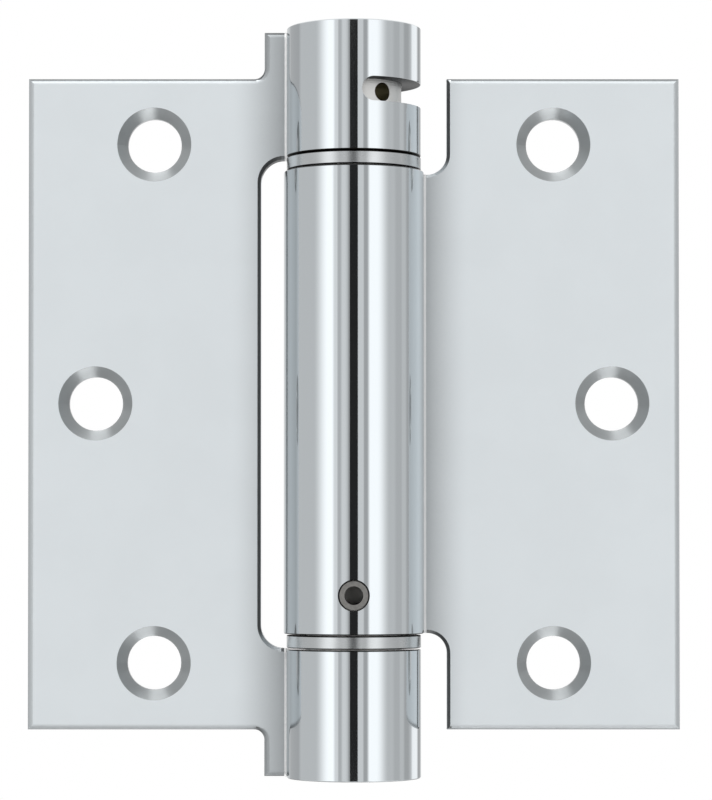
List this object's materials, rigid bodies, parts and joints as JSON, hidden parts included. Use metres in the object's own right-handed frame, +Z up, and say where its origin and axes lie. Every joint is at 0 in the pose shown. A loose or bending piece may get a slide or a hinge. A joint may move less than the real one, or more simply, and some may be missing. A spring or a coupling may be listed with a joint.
{
  "type": "self-closing spring hinge",
  "caption": "Square-cornered butt hinge that shuts a door by itself: rolled sheet leaves with countersunk holes, a torsion spring in the barrel and a slotted tension adjuster.",
  "frame": {"origin": "on the barrel's axis, at mid-height", "axes": "+Z runs up the barrel's axis, +X runs from the axis to the door leaf's outer edge with the hinge opened flat, +Y runs from the countersunk faces to the backs of the leaves"},
  "size_m": [0.0888, 0.019, 0.1016],
  "materials": {
    "chromed_sheet": "bright polished chrome on rolled steel, satin on the flat leaves",
    "washer_steel": "satin turned steel",
    "plug_steel": "dull plated steel, turned",
    "spring_wire": "oiled dark spring wire",
    "pin_steel": "dull steel tube"
  },
  "bodies": {
    "jamb": {"jamb_leaf": "chromed_sheet", "lower_washer": "washer_steel"},
    "door": {"door_leaf": "chromed_sheet", "upper_washer": "washer_steel", "torsion_spring": "spring_wire", "anchor_plug": "plug_steel", "anchor_pin": "pin_steel"},
    "adjuster": {"tension_plug": "plug_steel"}
  },
  "joints": [
    {"name": "leaf_swing", "type": "hinge", "parent": "jamb", "child": "door", "pos_m": [0, 0, 0], "axis": [0, 0, -1], "range_deg": [0, 180]},
    {"name": "tension_turn", "type": "hinge", "parent": "door", "child": "adjuster", "pos_m": [0, 0, 0.04155], "axis": [0, 0, -1], "range_deg": [0, 270], "stiffness_Nm_per_rad": 0.26, "deforming": ["torsion_spring"]}
  ]
}
